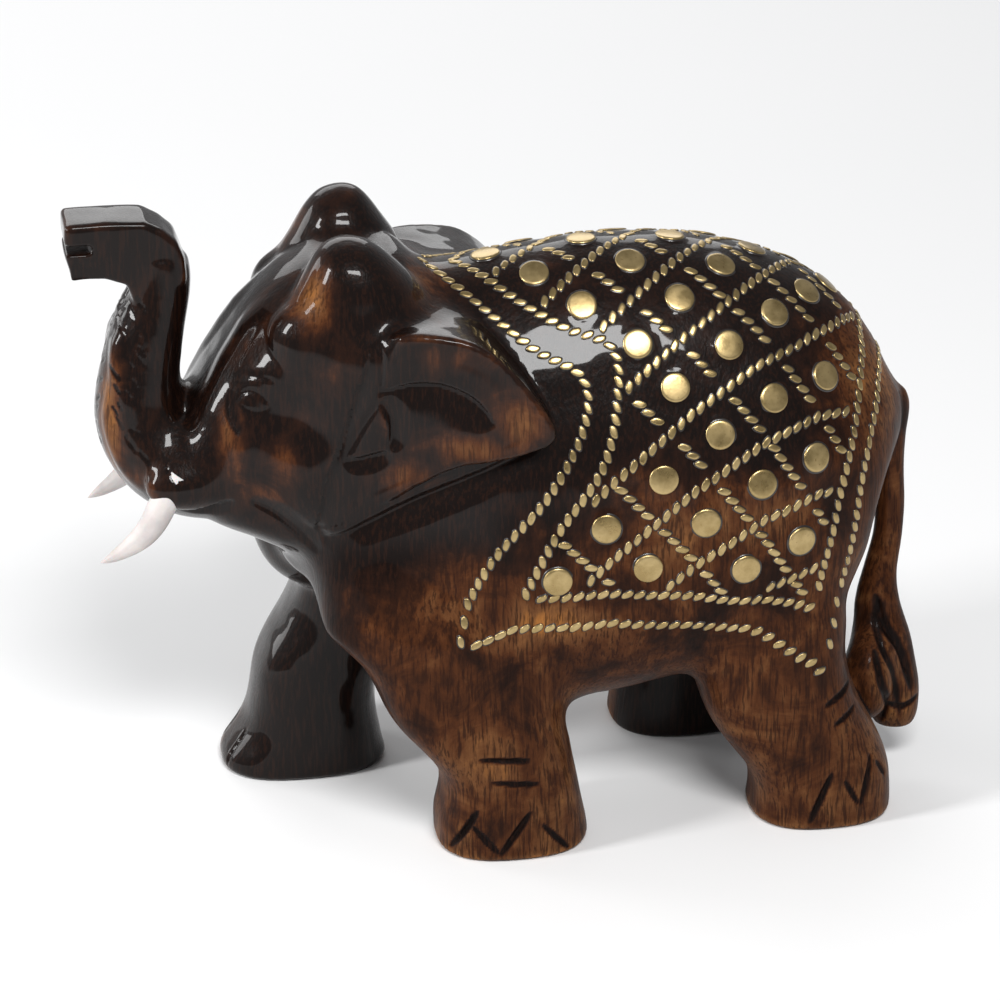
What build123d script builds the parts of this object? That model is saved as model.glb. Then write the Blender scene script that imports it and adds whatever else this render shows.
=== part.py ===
from build123d import *
import math
import os

# A standing carved wooden elephant, 148 mm long, with brass discs and grain chips
# hammered into both flanks. Millimetres, +Z up, feet on z = 0, head towards -X,
# the elephant's left flank towards -Y, mid-plane y = 0.

# ---- wood: torso, measured at stations along the body ----
# station: x, height of the spine, height of the belly, half width
TORSO_STATIONS = [
    (-34.0, 88.0, 47.0, 14.0),
    (-26.0, 97.0, 36.0, 21.6),
    (-14.0, 99.2, 25.6, 24.2),
    (0.0, 100.4, 21.0, 27.4),
    (14.0, 101.8, 21.6, 28.6),
    (28.0, 101.5, 24.4, 29.0),
    (40.0, 99.2, 27.0, 28.4),
    (50.0, 95.2, 29.5, 26.2),
    (58.0, 89.8, 36.0, 22.2),
    (64.0, 82.4, 49.5, 16.4),
    (67.6, 76.0, 59.5, 10.6),
    (69.8, 70.2, 63.5, 3.6),
]
TORSO_NARROWING = 0.15
TORSO_BELLY_SQUARENESS = 2.7

# ---- wood: head, rings at heights ----
# ring: height, front x, rear x, half width
HEAD_RINGS = [
    (45.0, -33.0, -12.0, 11.0),
    (51.0, -39.4, -10.0, 15.0),
    (57.5, -50.0, -9.0, 17.0),
    (63.0, -57.0, -8.0, 17.6),
    (71.0, -57.5, -8.0, 18.2),
    (79.0, -53.5, -8.0, 18.4),
    (87.0, -48.4, -8.0, 18.4),
    (94.0, -43.6, -10.0, 16.6),
    (99.0, -38.8, -13.0, 12.6),
    (103.5, -31.5, -18.0, 7.0),
]
HEAD_SQUARENESS = 2.5
# ring of one dome: height, front x, rear x, half width
DOME_RINGS = [
    (84.0, -30.0, -22.0, 3.0),
    (91.0, -37.5, -15.5, 6.4),
    (97.0, -37.4, -14.4, 8.6),
    (101.5, -35.0, -16.4, 8.6),
    (104.6, -33.0, -18.4, 7.4),
    (107.4, -31.2, -20.4, 5.7),
    (109.5, -29.0, -22.4, 3.4),
]
DOME_TOP = (-25.7, 110.5)
DOME_SIDE = 10.0

# ---- wood: raised trunk, rings along its centre line ----
# ring: x, z, lean of the trunk from level in degrees, half depth, half width
TRUNK_RINGS = [
    (-44.0, 67.0, 10.0, 10.8, 15.0),
    (-52.0, 67.6, 22.0, 10.4, 14.4),
    (-58.0, 71.0, 50.0, 9.6, 12.4),
    (-61.2, 76.6, 78.0, 7.9, 9.8),
    (-61.3, 83.0, 95.0, 6.9, 8.2),
    (-59.6, 90.5, 103.0, 6.1, 7.0),
    (-57.6, 97.5, 103.0, 5.3, 6.0),
    (-57.0, 104.0, 95.0, 4.6, 5.4),
]
TIP_HALF_WIDTH = 4.9
TIP_EDGE_ROUNDING = 0.9
MOUTH_SLOT_HEIGHT = 1.5
MOUTH_SLOT_DEPTH = 4.6
MOUTH_SLOT_Z = 107.2

# ---- wood: legs, rings at heights ----
# ring: height, front x, rear x, centre y, half width
LEFT_FRONT_LEG = [
    (0.0, -15.0, 11.4, -19.2, 10.8),
    (4.5, -14.8, 11.2, -19.3, 10.9),
    (9.5, -14.1, 10.2, -19.4, 10.8),
    (14.5, -14.5, 9.2, -19.2, 10.8),
    (20.0, -18.4, 8.0, -18.8, 11.0),
    (27.0, -23.4, 7.4, -18.0, 11.4),
    (36.0, -28.6, 8.8, -16.4, 12.4),
    (46.0, -31.0, 9.0, -13.2, 13.4),
    (57.0, -27.0, 6.0, -9.0, 10.0),
]
RIGHT_FRONT_LEG = [
    (0.0, -47.8, -18.2, 15.4, 10.8),
    (5.0, -46.0, -19.6, 15.5, 10.9),
    (10.5, -43.2, -20.4, 15.6, 10.8),
    (16.0, -42.3, -20.2, 15.8, 10.8),
    (23.0, -39.8, -17.0, 16.2, 11.0),
    (31.0, -35.4, -11.0, 16.4, 11.6),
    (39.0, -32.6, -5.0, 15.6, 12.4),
    (48.0, -31.0, 0.0, 12.6, 13.0),
    (58.0, -26.0, 2.0, 9.0, 10.0),
]
LEFT_HIND_LEG = [
    (0.0, 41.0, 65.8, -18.0, 10.8),
    (5.5, 41.3, 65.7, -18.1, 10.9),
    (12.0, 38.4, 64.3, -18.2, 10.9),
    (18.0, 34.2, 61.4, -18.0, 11.0),
    (24.0, 31.6, 58.6, -17.8, 11.2),
    (32.0, 29.6, 57.0, -17.2, 11.6),
    (41.0, 29.0, 57.4, -15.2, 12.6),
    (50.0, 30.0, 57.6, -12.0, 12.4),
    (60.0, 33.0, 54.0, -8.0, 9.0),
]
RIGHT_HIND_LEG = [
    (0.0, 23.6, 49.6, 19.4, 10.8),
    (5.5, 24.2, 49.4, 19.35, 10.9),
    (12.0, 25.2, 48.6, 19.2, 10.9),
    (18.0, 26.4, 48.8, 19.0, 11.0),
    (24.0, 27.6, 50.6, 18.6, 11.2),
    (32.0, 28.4, 53.6, 17.6, 11.6),
    (41.0, 29.0, 56.6, 15.2, 12.6),
    (50.0, 30.0, 57.0, 12.0, 12.4),
    (60.0, 33.0, 54.0, 8.0, 9.0),
]
LEG_SQUARENESS = 2.6
SOLE_ROUNDING = 1.0

# ---- wood: ears ----
# outline of the left ear seen from the side: x, z
EAR_OUTLINE = [
    (-23.6, 93.4),
    (-21.4, 95.5),
    (-15.0, 96.0),
    (-8.2, 94.6),
    (-2.6, 90.4),
    (1.8, 84.6),
    (4.4, 78.6),
    (-4.9, 74.4),
    (-19.5, 68.4),
    (-33.6, 61.6),
    (-31.8, 69.0),
    (-28.8, 77.5),
    (-26.2, 86.0),
]
EAR_FRONT_FACE_Y = 20.0
EAR_REAR_FACE_Y = 29.2
EAR_ROOT_Y = 10.0
EAR_EDGE_ROUNDING = 0.8
# how far the right ear sits behind and above the left one
RIGHT_EAR_SHIFT = (4.5, 1.0)

# ---- wood: tail ----
# ring: x, y, z, half depth, half width
TAIL_RINGS = [
    (59.5, 0.0, 78.0, 3.4, 3.6),
    (65.8, 0.0, 72.0, 3.9, 3.9),
    (68.8, 0.0, 63.0, 3.0, 3.2),
    (69.2, -0.6, 52.0, 2.5, 2.8),
    (68.9, -1.6, 43.0, 2.6, 2.8),
    (67.2, -3.0, 35.0, 3.2, 3.4),
    (67.2, -4.4, 27.5, 4.8, 4.6),
    (68.2, -5.4, 19.0, 6.0, 5.4),
    (69.4, -5.8, 12.5, 5.2, 4.8),
    (70.2, -5.8, 8.2, 3.4, 3.4),
]

# ---- tusks ----
# ring: x, side distance from the mid-plane, z, radius, from the peg to the tip
TUSK_RINGS = [
    (-57.6, 12.7, 66.8, 2.4),
    (-59.2, 12.9, 64.4, 2.4),
    (-60.7, 13.2, 61.7, 2.3),
    (-62.5, 13.4, 59.4, 2.05),
    (-64.9, 13.4, 57.4, 1.6),
    (-67.5, 13.3, 55.8, 1.0),
]
TUSK_TIP = (-70.0, 13.0, 54.6)
TUSK_PEG_LENGTH = 6.0

# ---- brass: where things sit on the skin ----
# A place is given by x and by the drop, the distance over the skin from the spine.
# edge lines of the blanket pattern, as x and drop
OUTER_FRONT = [
    (-14.0, 0.0),
    (-6.0, 11.0),
    (2.5, 21.0),
    (10.2, 27.5),
    (9.6, 36.0),
    (3.0, 46.5),
    (-6.4, 55.8),
    (-12.0, 66.6),
]
OUTER_BOTTOM = [(-12.0, 66.6), (-3.5, 68.4), (12.0, 70.5), (34.0, 73.0), (51.2, 70.4)]
OUTER_REAR = [(51.2, 70.4), (55.5, 55.0), (58.8, 33.0), (63.0, 15.0), (66.0, 0.0)]
INNER_FRONT = [
    (-8.3, 0.0),
    (-0.7, 10.4),
    (7.4, 18.0),
    (15.4, 23.0),
    (15.8, 31.0),
    (12.7, 42.6),
    (4.6, 53.0),
    (-1.0, 63.0),
]
INNER_BOTTOM = [(-1.0, 63.0), (22.0, 66.0), (37.0, 67.0), (49.5, 64.5)]
INNER_REAR = [(49.5, 64.5), (52.2, 50.0), (54.9, 37.0), (58.6, 21.0), (62.3, 0.0)]

# the lattice of diamonds: studs in rows, each row lower and further back
LATTICE_START_X = -2.5
LATTICE_PITCH = 16.8
LATTICE_ROW_DROP = 7.6
LATTICE_ROW_SHIFT = 7.0
LATTICE_ROWS = 9
SPINE_CROWDING = 0.0018
SPINE_CROWDING_REACH = 20.0
STUD_BORDER_GAP = 2.4
STUD_BORDER_ROOM = 4.2
STUD_MIDDLE_X = 28.0
STRAND_BORDER_GAP = 0.9

STUD_RADIUS = 2.5
STUD_DEPTH = 0.9
STUD_PROUD = 0.35
STUD_ROUNDING = 0.2
CHIP_PITCH = 2.1
CHIP_LENGTH = 2.0
CHIP_WIDTH = 1.0
CHIP_DEPTH = 0.5
CHIP_PROUD = 0.25
CHIP_SLANT = -24.0
CHIP_GAP = 0.12

RING_POINTS = 16


def ring(centre, across, up, half_across, half_up, squareness=(2.0, 2.0), narrowing=0.0):
    """One closed smooth outline around a centre, in the plane of two directions.

    The two squareness values are for the upper and the lower half of the outline.
    """
    points = []
    for index in range(RING_POINTS):
        angle = math.pi + 2.0 * math.pi * index / RING_POINTS
        power = 2.0 / squareness[0 if math.cos(angle) > 0 else 1]
        along_up = math.copysign(abs(math.cos(angle)) ** power, math.cos(angle))
        along_across = math.copysign(abs(math.sin(angle)) ** power, math.sin(angle))
        sideways = half_across * along_across * (1.0 - narrowing * math.cos(angle))
        points.append(centre + across * sideways + up * (half_up * along_up))
    return Wire([Edge.make_spline(points, periodic=True)])


def torso():
    """The barrel of the body, narrower at the spine than at the belly."""
    sections = []
    for x, spine, belly, half_width in TORSO_STATIONS:
        centre = Vector(x, 0, (spine + belly) / 2)
        height = (spine - belly) / 2
        sections.append(
            ring(centre, Vector(0, 1, 0), Vector(0, 0, 1), half_width, height,
                 (2.0, TORSO_BELLY_SQUARENESS), TORSO_NARROWING)
        )
    return Solid.make_loft(sections)


def level_loft(rings, squareness):
    """A smooth upright form through level rings, flat at both ends."""
    wires = []
    for z, front, rear, centre_y, half_width in rings:
        centre = Vector((front + rear) / 2, centre_y, z)
        half_length = (rear - front) / 2
        wires.append(
            ring(centre, Vector(0, 1, 0), Vector(-1, 0, 0), half_width, half_length,
                 (squareness, squareness))
        )
    return Solid.make_loft(wires)


def leg(rings):
    """One leg on a flat sole with a rounded rim."""
    post = level_loft(rings, LEG_SQUARENESS)
    return fillet(post.edges().group_by(Axis.Z)[0], SOLE_ROUNDING)


def head():
    """The head below the domes, joined into the front of the torso."""
    rings = [(z, front, rear, 0.0, half) for z, front, rear, half in HEAD_RINGS]
    return level_loft(rings, HEAD_SQUARENESS)


def dome(side):
    """One of the two rounded domes on top of the head."""
    centre_y = side * DOME_SIDE
    wires = []
    for z, front, rear, half_width in DOME_RINGS:
        centre = Vector((front + rear) / 2, centre_y, z)
        half_length = (rear - front) / 2
        wires.append(ring(centre, Vector(0, 1, 0), Vector(-1, 0, 0), half_width, half_length))
    top = Vertex(DOME_TOP[0], centre_y, DOME_TOP[1])
    return Solid.make_loft(wires + [top])


def trunk():
    """The trunk from the face, forwards and then up."""
    wires = []
    for x, z, lean, half_depth, half_width in TRUNK_RINGS:
        tilt = math.radians(lean)
        up = Vector(math.sin(tilt), 0, math.cos(tilt))
        wires.append(ring(Vector(x, 0, z), Vector(0, 1, 0), up, half_width, half_depth))
    return Solid.make_loft(wires)


def trunk_tip():
    """The squared block at the end of the trunk, with the slot between its two lips."""
    corners = [
        (-53.2, 100.5),
        (-53.3, 104.6),
        (-54.4, 107.6),
        (-56.8, 109.8),
        (-59.6, 111.3),
        (-66.0, 111.6),
        (-72.8, 111.5),
        (-73.0, 106.4),
        (-72.4, 101.2),
        (-66.4, 101.6),
        (-63.0, 100.6),
        (-62.0, 97.4),
        (-57.0, 95.5),
    ]
    outline = [Vector(x, TIP_HALF_WIDTH, z) for x, z in corners]
    side = Face(Wire.make_polygon(outline, close=True))
    block = Solid.extrude(side, Vector(0, -2 * TIP_HALF_WIDTH, 0))
    block = fillet(block.edges(), TIP_EDGE_ROUNDING)
    slot = Box(2 * MOUTH_SLOT_DEPTH, 3 * TIP_HALF_WIDTH, MOUTH_SLOT_HEIGHT)
    return block - Pos(-73.0, 0, MOUTH_SLOT_Z) * slot


def ear(side):
    """A thick ear plate; its face stands further out at the rear than at the front."""
    front = min(x for x, z in EAR_OUTLINE)
    rear = max(x for x, z in EAR_OUTLINE)
    slope = (EAR_REAR_FACE_Y - EAR_FRONT_FACE_Y) / (rear - front)
    back, lift = RIGHT_EAR_SHIFT if side > 0 else (0.0, 0.0)
    outer = []
    for x, z in EAR_OUTLINE:
        face_y = EAR_FRONT_FACE_Y + slope * (x - front)
        outer.append(Vector(x + back, side * face_y, z + lift))
    face = Face(Wire([Edge.make_spline(outer, periodic=True)]))
    inwards = Vector(0, -side * (EAR_REAR_FACE_Y - EAR_ROOT_Y), 0)
    plate = Solid.extrude(face, inwards)
    rim = plate.edges().group_by(Axis.Y)[0 if side < 0 else -1]
    return fillet(rim, EAR_EDGE_ROUNDING)


def tail():
    """The tail hanging from the rump and ending in a thick tuft beside the left hind leg."""
    wires = []
    for x, y, z, half_depth, half_width in TAIL_RINGS:
        wires.append(
            ring(Vector(x, y, z), Vector(0, 1, 0), Vector(1, 0, 0), half_width, half_depth)
        )
    return Solid.make_loft(wires)


def tusk_direction(side):
    """Unit direction along a tusk at its root, pointing out of the cheek."""
    first = TUSK_RINGS[0]
    second = TUSK_RINGS[1]
    run = Vector(second[0] - first[0], side * (second[1] - first[1]), second[2] - first[2])
    return run.normalized()


def tusk_peg(side):
    """The straight round peg that holds a tusk in its cheek."""
    x, y, z, radius = TUSK_RINGS[1]
    direction = tusk_direction(side)
    root = Vector(x, side * y, z) - direction * TUSK_PEG_LENGTH
    return Solid.make_cylinder(radius, TUSK_PEG_LENGTH, Plane(origin=root, z_dir=direction))


def tusk(side):
    """A short curved tusk with its peg."""
    wires = []
    rings = TUSK_RINGS[1:]
    following = rings[1:] + [TUSK_TIP]
    for here, there in zip(rings, following):
        x, y, z, radius = here
        run = Vector(there[0] - x, side * (there[1] - y), there[2] - z).normalized()
        if here is rings[0]:
            run = tusk_direction(side)
        plane = Plane(origin=(x, side * y, z), x_dir=(0, 1, 0), z_dir=run)
        wires.append(Wire.make_circle(radius, plane))
    tip = Vertex(TUSK_TIP[0], side * TUSK_TIP[1], TUSK_TIP[2])
    return Solid.make_loft(wires + [tip]) + tusk_peg(side)


def core():
    """Everything of the carving that the brass is hammered into."""
    body = torso() + tail() + head()
    for rings in (LEFT_FRONT_LEG, RIGHT_FRONT_LEG, LEFT_HIND_LEG, RIGHT_HIND_LEG):
        body = body + leg(rings)
    return body


def carving(plain, studs):
    """The one piece of wood, with a pocket for each stud and a bore for each tusk peg."""
    body = plain
    for side in (-1, 1):
        body = body + dome(side)
    body = body + trunk() + trunk_tip()
    for side in (-1, 1):
        body = body + ear(side)
    for side in (-1, 1):
        body = body - tusk_peg(side)
    return body.cut(*studs)


def section_at(x):
    """Spine height, belly height and half width of the torso at one x."""
    for near, far in zip(TORSO_STATIONS, TORSO_STATIONS[1:]):
        if x <= far[0]:
            break
    share = (x - near[0]) / (far[0] - near[0])
    return [a + (b - a) * share for a, b in zip(near[1:], far[1:])]


def skin_point(x, drop, side):
    """Rough place on the torso at a given x and distance over the skin from the spine."""
    spine, belly, half_width = section_at(x)
    middle = (spine + belly) / 2
    half_height = (spine - belly) / 2
    walked = 0.0
    last = Vector(x, 0, spine)
    for degree in range(2, 182, 2):
        angle = math.radians(degree)
        power = 1.0 if degree < 90 else 2.0 / TORSO_BELLY_SQUARENESS
        up = math.copysign(abs(math.cos(angle)) ** power, math.cos(angle))
        out = math.sin(angle) ** power * (1.0 - TORSO_NARROWING * math.cos(angle))
        here = Vector(x, side * half_width * out, middle + half_height * up)
        step = (here - last).length
        if walked + step >= drop:
            return last + (here - last) * ((drop - walked) / step)
        walked += step
        last = here
    return last


def on_wood(wood, x, drop, side):
    """The exact place and outward direction on the wood below a rough skin place."""
    spine, belly, half_width = section_at(x)
    start = Vector(x, 0, (spine + belly) / 2)
    rough = skin_point(x, drop, side)
    hits = wood.find_intersection_points(Axis(start, rough - start))
    ahead = [hit for hit in hits if (hit[0] - start).dot(rough - start) > 0]
    point, normal = min(ahead, key=lambda hit: (hit[0] - rough).length)
    if normal.dot(rough - start) < 0:
        normal = -normal
    return point, normal


def smooth_line(knots, steps=12):
    """Places along a smooth line through a few knots."""
    line = []
    for index in range(len(knots) - 1):
        before = knots[max(index - 1, 0)]
        here = knots[index]
        there = knots[index + 1]
        after = knots[min(index + 2, len(knots) - 1)]
        for step in range(steps):
            t = step / steps
            place = []
            for axis in (0, 1):
                a, b, c, d = before[axis], here[axis], there[axis], after[axis]
                bend = (2 * a - 5 * b + 4 * c - d) * t * t
                twist = (3 * b - a - 3 * c + d) * t * t * t
                place.append(0.5 * (2 * b + (c - a) * t + bend + twist))
            line.append(tuple(place))
    line.append(knots[-1])
    return line


def inner_outline():
    """The inner border of one flank as a closed outline in x and drop."""
    front = smooth_line(INNER_FRONT)
    bottom = smooth_line(INNER_BOTTOM)
    rear = smooth_line(INNER_REAR)
    return front + bottom + rear


def gap_to_border(x, drop, outline):
    """Distance from a place to the inner border, negative outside it; the spine is no border."""
    inside = False
    nearest = 1000.0
    for index in range(len(outline)):
        x1, d1 = outline[index - 1]
        x2, d2 = outline[index]
        if (d1 > drop) != (d2 > drop) and x < x1 + (drop - d1) * (x2 - x1) / (d2 - d1):
            inside = not inside
        if index > 0:
            nearest = min(nearest, math.hypot(x - x2, drop - d2))
    return nearest if inside else -nearest


def crowded(x, drop):
    """Lattice x drawn closer together along the spine, towards the rump."""
    share = max(0.0, 1.0 - drop / SPINE_CROWDING_REACH)
    return x - SPINE_CROWDING * share * (x - LATTICE_START_X) ** 2


def stud_places():
    """x and drop of each stud of one flank, with the spine row first."""
    outline = inner_outline()
    places = []
    for row in range(LATTICE_ROWS):
        drop = row * LATTICE_ROW_DROP
        for column in range(-LATTICE_ROWS, LATTICE_ROWS):
            x = LATTICE_START_X + row * LATTICE_ROW_SHIFT + column * LATTICE_PITCH
            x = crowded(x, drop)
            gap = gap_to_border(x, max(drop, 0.5), outline)
            if gap > STUD_BORDER_GAP:
                inwards = 1 if x < STUD_MIDDLE_X else -1
                places.append((x + inwards * max(0.0, STUD_BORDER_ROOM - gap), drop))
    return places


def strand(number, rising):
    """One straight strand of the lattice inside the inner border, as x and drop."""
    outline = inner_outline()
    start = LATTICE_START_X + (number + 0.5) * LATTICE_PITCH
    if rising:
        slope = -(LATTICE_PITCH - LATTICE_ROW_SHIFT) / LATTICE_ROW_DROP
    else:
        slope = LATTICE_ROW_SHIFT / LATTICE_ROW_DROP
    line = []
    for step in range(0, 150):
        drop = step * 0.5
        x = crowded(start + slope * drop, drop)
        if gap_to_border(x, max(drop, 0.5), outline) > STRAND_BORDER_GAP:
            line.append((x, drop))
    return line


def stud(point, normal):
    """A round brass disc sunk into the wood, its rim rounded."""
    base = Plane(origin=point - normal * STUD_DEPTH, z_dir=normal)
    disc = Solid.make_cylinder(STUD_RADIUS, STUD_DEPTH + STUD_PROUD, base)
    rim = disc.edges().sort_by(Axis(point, normal))[-1]
    return fillet(rim, STUD_ROUNDING)


def chip_direction(normal, along, side):
    """Direction of a chip on the skin, slanted like the lay of a rope."""
    flat = (along - normal * along.dot(normal)).normalized()
    return flat.rotate(Axis((0, 0, 0), normal), side * CHIP_SLANT)


def is_clear(point, direction, placed):
    """True where a chip would stay clear of every chip already placed."""
    reach = (CHIP_LENGTH - CHIP_WIDTH) / 2
    for other_point, other_direction in placed:
        if (point - other_point).length > CHIP_LENGTH + CHIP_GAP:
            continue
        for here in (-reach, 0.0, reach):
            for there in (-reach, 0.0, reach):
                apart = point + direction * here - other_point - other_direction * there
                if apart.length < CHIP_WIDTH + CHIP_GAP:
                    return False
    return True


def chip(point, normal, direction):
    """One grain-shaped chip of brass, standing a little proud of the wood."""
    base = Plane(origin=point - normal * CHIP_DEPTH, x_dir=direction, z_dir=normal)
    outline = base * SlotOverall(CHIP_LENGTH, CHIP_WIDTH)
    return Solid.extrude(outline.face(), normal * (CHIP_DEPTH + CHIP_PROUD))


def chip_row(wood, line, side, placed):
    """Chips at an even pitch along a line given as x and drop, left out at crossings."""
    path = [skin_point(x, drop, side) for x, drop in line]
    lengths = [(b - a).length for a, b in zip(path, path[1:])]
    total = sum(lengths)
    count = max(1, round(total / CHIP_PITCH))
    chips = []
    index = 0
    passed = 0.0
    for number in range(count):
        target = (number + 0.5) * total / count
        while passed + lengths[index] < target:
            passed += lengths[index]
            index += 1
        share = (target - passed) / lengths[index]
        x = line[index][0] + (line[index + 1][0] - line[index][0]) * share
        drop = line[index][1] + (line[index + 1][1] - line[index][1]) * share
        point, normal = on_wood(wood, x, drop, side)
        direction = chip_direction(normal, path[index + 1] - path[index], side)
        if is_clear(point, direction, placed):
            placed.append((point, direction))
            chips.append(chip(point, normal, direction))
    return chips


def brass(wood):
    """Every brass group by name, each a list of separate solids."""
    groups = {"spine_studs": [], "left_studs": [], "right_studs": []}
    for x, drop in stud_places():
        if drop == 0.0:
            groups["spine_studs"].append(stud(*on_wood(wood, x, drop, -1)))
        else:
            groups["left_studs"].append(stud(*on_wood(wood, x, drop, -1)))
            groups["right_studs"].append(stud(*on_wood(wood, x, drop, 1)))
    borders = {
        "outer_border_front": OUTER_FRONT,
        "outer_border_bottom": OUTER_BOTTOM,
        "outer_border_rear": OUTER_REAR,
        "inner_border_front": INNER_FRONT,
        "inner_border_bottom": INNER_BOTTOM,
        "inner_border_rear": INNER_REAR,
    }
    placed = []
    for side, name in ((-1, "left"), (1, "right")):
        for border, knots in borders.items():
            line = smooth_line(knots)
            groups[name + "_" + border] = chip_row(wood, line, side, placed)
        for rising, kind in ((True, "rising"), (False, "falling")):
            found = 0
            for number in range(-4, 10):
                line = strand(number, rising)
                if len(line) > 4:
                    found += 1
                    label = name + "_" + kind + "_strand_" + str(found)
                    groups[label] = chip_row(wood, line, side, placed)
    return groups


os.makedirs("parts", exist_ok=True)
plain = core().solid()
groups = brass(plain)
studs = groups["spine_studs"] + groups["left_studs"] + groups["right_studs"]
wood = carving(plain, studs).solid()
box = wood.bounding_box()
to_frame = Pos(-(box.min.X + box.max.X) / 2, -(box.min.Y + box.max.Y) / 2, -box.min.Z)
export_step(to_frame * wood, "parts/carved_body.step")
export_step(to_frame * tusk(-1).solid(), "parts/left_tusk.step")
export_step(to_frame * tusk(1).solid(), "parts/right_tusk.step")
for name, pieces in groups.items():
    export_step(to_frame * Compound(children=pieces), "parts/" + name + ".step")
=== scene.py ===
import math

import bpy
import numpy as np
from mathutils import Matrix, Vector
from mathutils.bvhtree import BVHTree


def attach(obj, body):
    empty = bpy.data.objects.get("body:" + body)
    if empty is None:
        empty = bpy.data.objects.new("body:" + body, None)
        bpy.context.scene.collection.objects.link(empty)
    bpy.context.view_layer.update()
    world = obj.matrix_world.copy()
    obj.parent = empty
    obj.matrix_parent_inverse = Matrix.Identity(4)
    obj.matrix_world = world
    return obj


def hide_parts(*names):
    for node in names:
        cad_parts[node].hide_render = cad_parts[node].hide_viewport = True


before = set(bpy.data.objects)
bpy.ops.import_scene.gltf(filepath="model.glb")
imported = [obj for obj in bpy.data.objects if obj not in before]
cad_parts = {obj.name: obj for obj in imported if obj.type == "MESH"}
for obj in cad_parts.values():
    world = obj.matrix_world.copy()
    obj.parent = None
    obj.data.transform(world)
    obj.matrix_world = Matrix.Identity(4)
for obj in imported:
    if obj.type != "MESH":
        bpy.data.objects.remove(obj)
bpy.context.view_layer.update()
rng = np.random.default_rng(11)

# Lengths below are in millimetres in the row frame unless a name says otherwise.
MM = 0.001
WELD_STEP = 0.002
SPINE_AXIS_Z = 64.0
VOXEL = 0.42
# the right ear sits a little further back and higher than the left one
RIGHT_EAR_BACK = 4.5
RIGHT_EAR_UP = 1.0


# ---------------------------------------------------------------- mesh tools
def read_mesh(obj):
    """Points in millimetres and triangles of an object's mesh, with doubles joined."""
    mesh = obj.data
    points = np.empty(len(mesh.vertices) * 3)
    mesh.vertices.foreach_get("co", points)
    points = points.reshape(-1, 3) / MM
    mesh.calc_loop_triangles()
    tris = np.empty(len(mesh.loop_triangles) * 3, dtype=np.int64)
    mesh.loop_triangles.foreach_get("vertices", tris)
    keys = np.round(points / WELD_STEP).astype(np.int64)
    _, first, index = np.unique(keys, axis=0, return_index=True, return_inverse=True)
    tris = index.reshape(-1)[tris.reshape(-1, 3)]
    whole = (tris[:, 0] != tris[:, 1]) & (tris[:, 1] != tris[:, 2]) & (tris[:, 0] != tris[:, 2])
    return points[first], tris[whole]


def islands(points, tris):
    """Point numbers of each separate solid in a mesh."""
    label = np.arange(len(points))
    while True:
        low = label[tris].min(1)
        new = label.copy()
        np.minimum.at(new, tris.ravel(), np.repeat(low, 3))
        new = new[new]
        if (new == label).all():
            break
        label = new
    return [np.flatnonzero(label == key) for key in np.unique(label)]


def build_object(name, points, faces, material, smooth=True):
    """A mesh object from points in millimetres."""
    mesh = bpy.data.meshes.new(name)
    mesh.from_pydata((np.asarray(points) * MM).tolist(), [], np.asarray(faces).tolist())
    mesh.polygons.foreach_set("use_smooth", [smooth] * len(mesh.polygons))
    mesh.materials.append(material)
    mesh.update()
    obj = bpy.data.objects.new(name, mesh)
    bpy.context.scene.collection.objects.link(obj)
    return obj


def voxel_skin(points, tris):
    """An even quad skin over a closed mesh."""
    mesh = bpy.data.meshes.new("source")
    mesh.from_pydata((points * MM).tolist(), [], tris.tolist())
    obj = bpy.data.objects.new("source", mesh)
    bpy.context.scene.collection.objects.link(obj)
    modifier = obj.modifiers.new("remesh", "REMESH")
    modifier.mode = "VOXEL"
    modifier.voxel_size = VOXEL * MM
    graph = bpy.context.evaluated_depsgraph_get()
    done = bpy.data.meshes.new_from_object(obj.evaluated_get(graph))
    skin = np.empty(len(done.vertices) * 3)
    done.vertices.foreach_get("co", skin)
    quads = np.empty(len(done.loops), dtype=np.int64)
    done.loops.foreach_get("vertex_index", quads)
    bpy.data.objects.remove(obj)
    bpy.data.meshes.remove(mesh)
    bpy.data.meshes.remove(done)
    return skin.reshape(-1, 3) / MM, quads.reshape(-1, 4)


def edges_of(quads):
    """Each edge of a quad skin once."""
    pairs = np.concatenate([quads[:, [0, 1]], quads[:, [1, 2]], quads[:, [2, 3]], quads[:, [3, 0]]])
    pairs.sort(axis=1)
    return np.unique(pairs, axis=0)


def neighbour_mean(values, edges):
    """Mean of the neighbours' values at each point."""
    count = len(values)
    links = np.bincount(edges.ravel(), minlength=count)
    total = np.empty_like(values)
    for axis in range(values.shape[1]):
        column = values[:, axis]
        total[:, axis] = np.bincount(edges[:, 0], column[edges[:, 1]], count)
        total[:, axis] += np.bincount(edges[:, 1], column[edges[:, 0]], count)
    return total / np.maximum(links, 1)[:, None]


def relax(points, edges, rounds, weight=None, keep_size=False):
    """Smooths points; a weight from 0 to 1 limits it to part of the skin."""
    if weight is not None:
        chosen = np.flatnonzero(weight > 0.01)
        inside = np.zeros(len(points), bool)
        inside[chosen] = True
        used = edges[inside[edges].any(axis=1)]
        members = np.unique(used)
        renumber = np.zeros(len(points), dtype=np.int64)
        renumber[members] = np.arange(len(members))
        part = relax_all(points[members], renumber[used], rounds, weight[members], keep_size)
        result = points.copy()
        result[members] = part
        return result
    return relax_all(points, edges, rounds, np.ones(len(points)), keep_size)


SIZE_KEEPING = 1.04


def relax_all(points, edges, rounds, weight, keep_size):
    """The smoothing rounds themselves; keep_size alternates in and out."""
    share = weight[:, None] * 0.5
    for _ in range(rounds):
        points = points + (neighbour_mean(points, edges) - points) * share
        if keep_size:
            points = points - (neighbour_mean(points, edges) - points) * share * SIZE_KEEPING
    return points


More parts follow.
